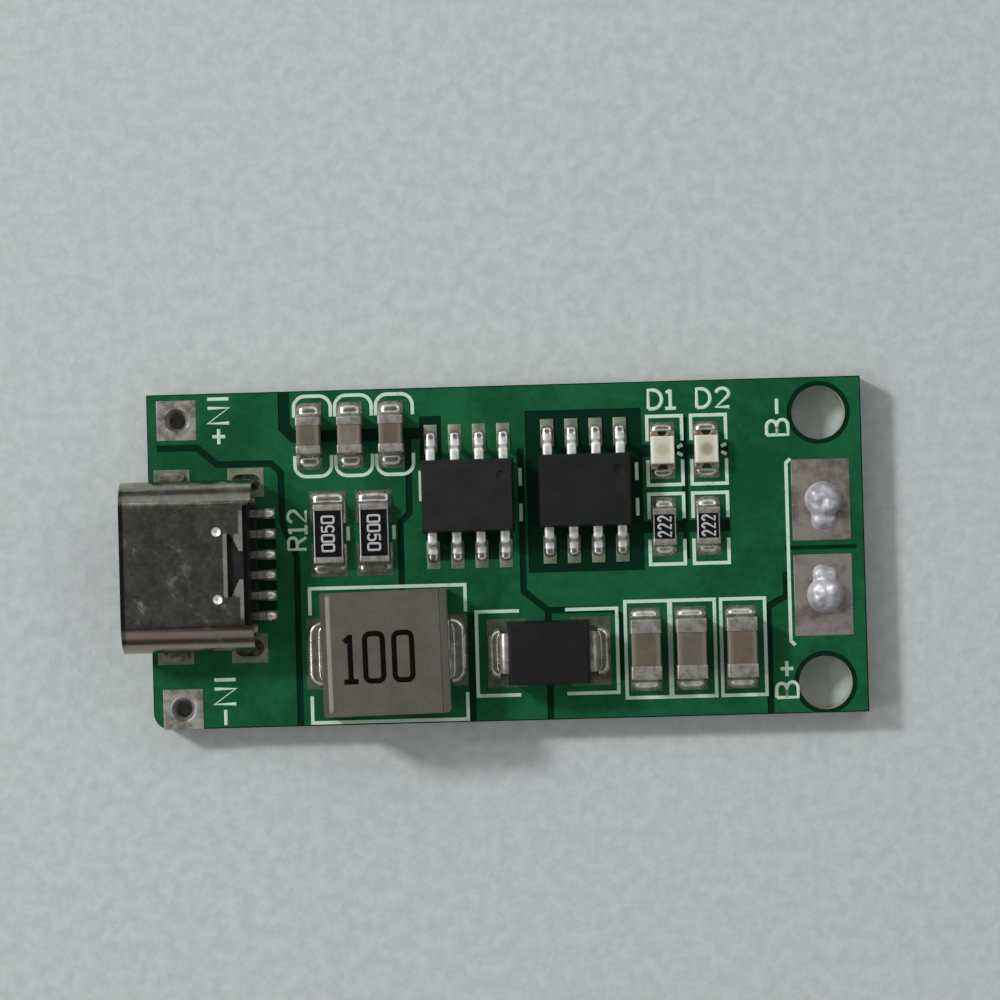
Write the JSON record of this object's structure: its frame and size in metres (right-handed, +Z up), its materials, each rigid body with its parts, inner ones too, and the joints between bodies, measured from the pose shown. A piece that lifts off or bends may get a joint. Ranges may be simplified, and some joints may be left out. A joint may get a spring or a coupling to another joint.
{
  "type": "lithium battery charger module",
  "caption": "Small circuit board that charges a lithium cell: USB-C socket and wire holes at one end, power parts and lamps in the middle, solder pads for the cell at the other end.",
  "frame": {"origin": "middle of the board's underside, where the board rests", "axes": "+X along the board to the battery pads, +Y to the wire hole of the positive input, +Z up through the parts"},
  "size_m": [0.0388, 0.0176, 0.0048],
  "materials": {
    "chip_plastic": "black moulding compound",
    "contact_metal": "plated copper alloy",
    "end_plating": "dull tin plating",
    "glass_epoxy": "glass-epoxy laminate under green solder mask",
    "green_mask": "glossy green solder mask over copper",
    "input_ceramic": "matt olive-tan ceramic",
    "lamp_base": "white resin",
    "lamp_lens": "milky clear resin",
    "lead_metal": "tinned copper alloy",
    "output_ceramic": "matt brown ceramic",
    "powder_core": "pressed metal powder under a grey coat",
    "resistor_coat": "glassy black coat",
    "shell_steel": "scuffed nickel-plated sheet",
    "socket_plastic": "black moulding",
    "solder": "bright solder",
    "tin": "tarnished tin over copper",
    "white_ceramic": "white alumina",
    "white_print": "greenish-white screen print"
  },
  "bodies": {
    "root": {"battery_pad_solder": "solder", "battery_pads": "tin", "board_copper_and_mask": "green_mask", "board_laminate": "glass_epoxy", "capacitor_pads": "tin", "capacitor_solder": "solder", "chip_pads": "tin", "chip_solder": "solder", "control_chip_body": "chip_plastic", "control_chip_leads": "lead_metal", "diode_body": "chip_plastic", "diode_leads": "lead_metal", "inductor_and_diode_pads": "tin", "inductor_and_diode_solder": "solder", "inductor_body": "powder_core", "inductor_clips": "lead_metal", "input_capacitor_1_ceramic": "input_ceramic", "input_capacitor_1_ends": "end_plating", "input_capacitor_2_ceramic": "input_ceramic", "input_capacitor_2_ends": "end_plating", "input_capacitor_3_ceramic": "input_ceramic", "input_capacitor_3_ends": "end_plating", "lamp_1_base": "lamp_base", "lamp_1_lens": "lamp_lens", "lamp_1_terminals": "end_plating", "lamp_2_base": "lamp_base", "lamp_2_lens": "lamp_lens", "lamp_2_terminals": "end_plating", "lamp_resistor_1_ceramic": "white_ceramic", "lamp_resistor_1_coat": "resistor_coat", "lamp_resistor_1_ends": "end_plating", "lamp_resistor_2_ceramic": "white_ceramic", "lamp_resistor_2_coat": "resistor_coat", "lamp_resistor_2_ends": "end_plating", "output_capacitor_1_ceramic": "output_ceramic", "output_capacitor_1_ends": "end_plating", "output_capacitor_2_ceramic": "output_ceramic", "output_capacitor_2_ends": "end_plating", "output_capacitor_3_ceramic": "output_ceramic", "output_capacitor_3_ends": "end_plating", "resistor_and_lamp_pads": "tin", "resistor_and_lamp_solder": "solder", "screen_print_outlines": "white_print", "sense_resistor_1_ceramic": "white_ceramic", "sense_resistor_1_coat": "resistor_coat", "sense_resistor_1_ends": "end_plating", "sense_resistor_2_ceramic": "white_ceramic", "sense_resistor_2_coat": "resistor_coat", "sense_resistor_2_ends": "end_plating", "socket_contacts": "contact_metal", "socket_insulator": "socket_plastic", "socket_leg_pads": "tin", "socket_shell": "shell_steel", "socket_solder": "solder", "socket_tail_pads": "tin", "switch_chip_body": "chip_plastic", "switch_chip_leads": "lead_metal", "wire_hole_linings": "tin", "wire_pads": "tin"}
  },
  "joints": []
}
